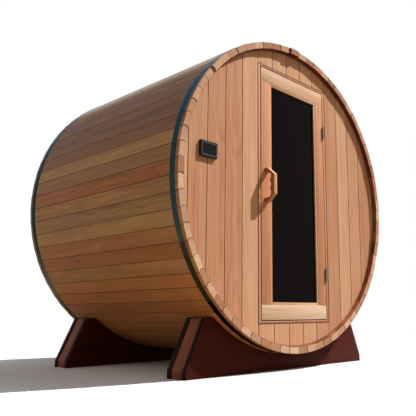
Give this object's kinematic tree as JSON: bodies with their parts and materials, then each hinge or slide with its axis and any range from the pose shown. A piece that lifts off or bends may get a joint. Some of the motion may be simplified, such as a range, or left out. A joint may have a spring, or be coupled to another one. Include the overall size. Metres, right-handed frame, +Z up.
{
  "type": "barrel sauna",
  "caption": "Round plank sauna cabin lying on two cradles, with steel hoops, board end walls and a glazed door that swings out.",
  "frame": {"origin": "on the ground, under the middle of the whole sauna's bounding box", "axes": "+X to the right for a person facing the door, -Y the side that the door faces, with the barrel's axis along Y, +Z up"},
  "size_m": [1.8321, 1.503, 1.9201],
  "materials": {
    "bead_wood": "planed softwood",
    "cradle_core": "brown oiled softwood",
    "cradle_stain": "very dark burgundy stain",
    "door_glass": "dark tinted safety glass",
    "floor_wood": "bare planed softwood",
    "frame_wood": "oiled softwood",
    "handle_wood": "planed and oiled softwood",
    "hinge_steel": "plain steel",
    "hoop_steel": "polished stainless band",
    "panel_plastic": "black moulded housing",
    "panel_screen": "dark glossy touch screen",
    "rail_wood": "oiled softwood, paler",
    "stave_wood": "oiled softwood plank, weathered in shade to red-brown and olive",
    "stile_wood": "oiled softwood",
    "wall_wood": "oiled tongue and groove softwood"
  },
  "bodies": {
    "cabin": {"control_panel": "panel_plastic", "control_screen": "panel_screen", "door_head": "frame_wood", "door_jamb_hinge_side": "frame_wood", "door_jamb_latch_side": "frame_wood", "door_sill": "frame_wood", "floor_bearers": "floor_wood", "floor_slats": "floor_wood", "front_cradle_core": "cradle_core", "front_cradle_front_plate": "cradle_stain", "front_cradle_rear_plate": "cradle_stain", "front_hoop": "hoop_steel", "front_wall_above_door": "wall_wood", "front_wall_below_door": "wall_wood", "front_wall_left": "wall_wood", "front_wall_right": "wall_wood", "hinge_jamb_flaps": "hinge_steel", "rear_cradle_core": "cradle_core", "rear_cradle_front_plate": "cradle_stain", "rear_cradle_rear_plate": "cradle_stain", "rear_hoop": "hoop_steel", "rear_wall_centre": "wall_wood", "rear_wall_left": "wall_wood", "rear_wall_right": "wall_wood", "staves_01": "stave_wood", "staves_02": "stave_wood", "staves_03": "stave_wood", "staves_04": "stave_wood", "staves_05": "stave_wood", "staves_06": "stave_wood", "staves_07": "stave_wood", "staves_08": "stave_wood", "staves_09": "stave_wood", "staves_10": "stave_wood"},
    "door": {"door_stile_latch_side": "stile_wood", "door_stile_hinge_side": "stile_wood", "door_top_rail": "rail_wood", "door_bottom_rail": "rail_wood", "door_glass": "door_glass", "glazing_beads": "bead_wood", "door_handle": "handle_wood", "hinge_door_flaps": "hinge_steel"}
  },
  "joints": [
    {"name": "door_hinge", "type": "hinge", "parent": "cabin", "child": "door", "pos_m": [0.2967, -0.6875, 1.0037], "axis": [0, 0, 1], "range_deg": [0, 110]}
  ]
}
